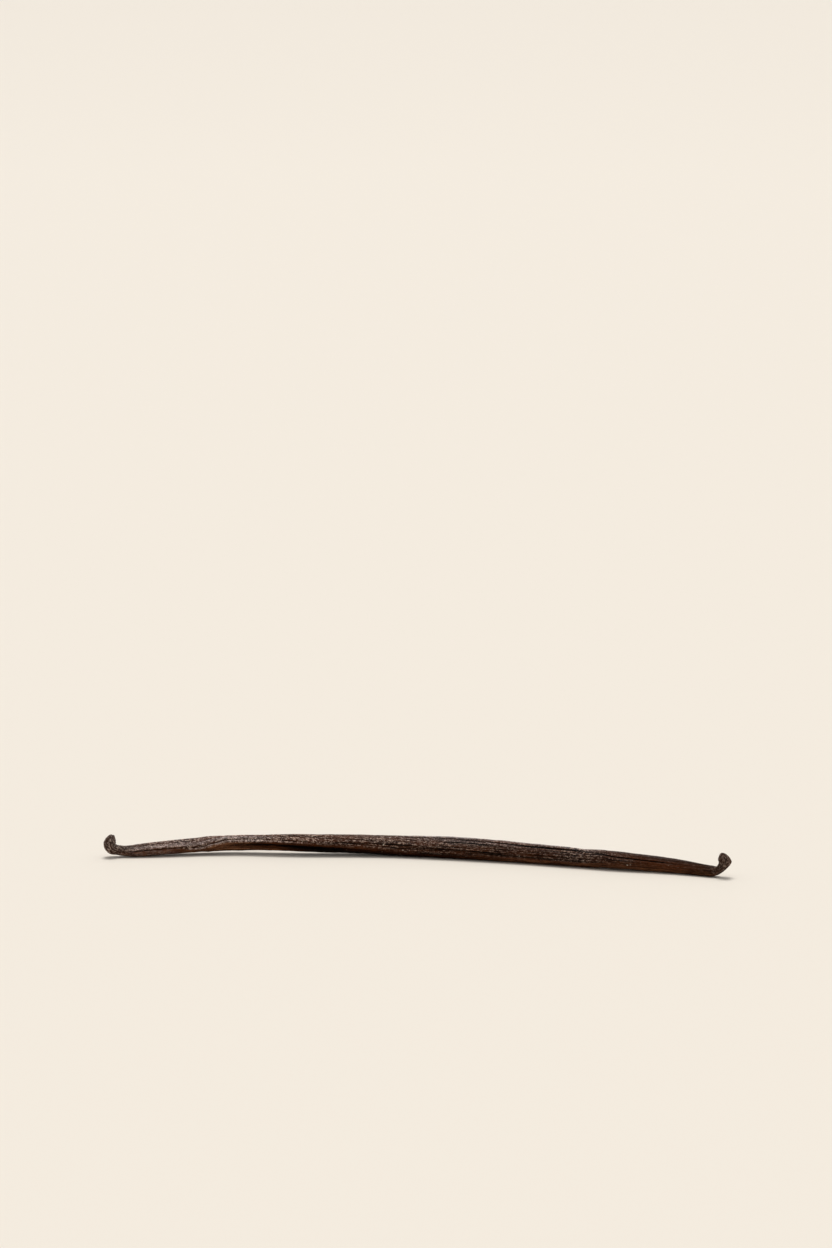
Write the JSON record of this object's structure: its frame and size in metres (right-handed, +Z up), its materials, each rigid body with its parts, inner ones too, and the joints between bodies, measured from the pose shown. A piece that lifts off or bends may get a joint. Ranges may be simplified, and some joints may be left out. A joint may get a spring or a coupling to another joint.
{
  "type": "cured vanilla pod",
  "caption": "Long thin cured vanilla pod lying on its side, bowed in plan, with lengthwise keels and furrows and both ends curled up into small cut bulbs.",
  "frame": {"origin": "middle of the pod's box in plan, on the surface that it lies on", "axes": "+X from the stalk end to the blossom end, +Y towards the back of the bow, +Z up"},
  "size_m": [0.192, 0.0216, 0.0074],
  "materials": {
    "cured_skin": "satin, oily dark brown skin, finely ridged lengthwise, drier and greyer on the bulbs"
  },
  "bodies": {
    "root": {"vanilla_pod": "cured_skin"}
  },
  "joints": []
}
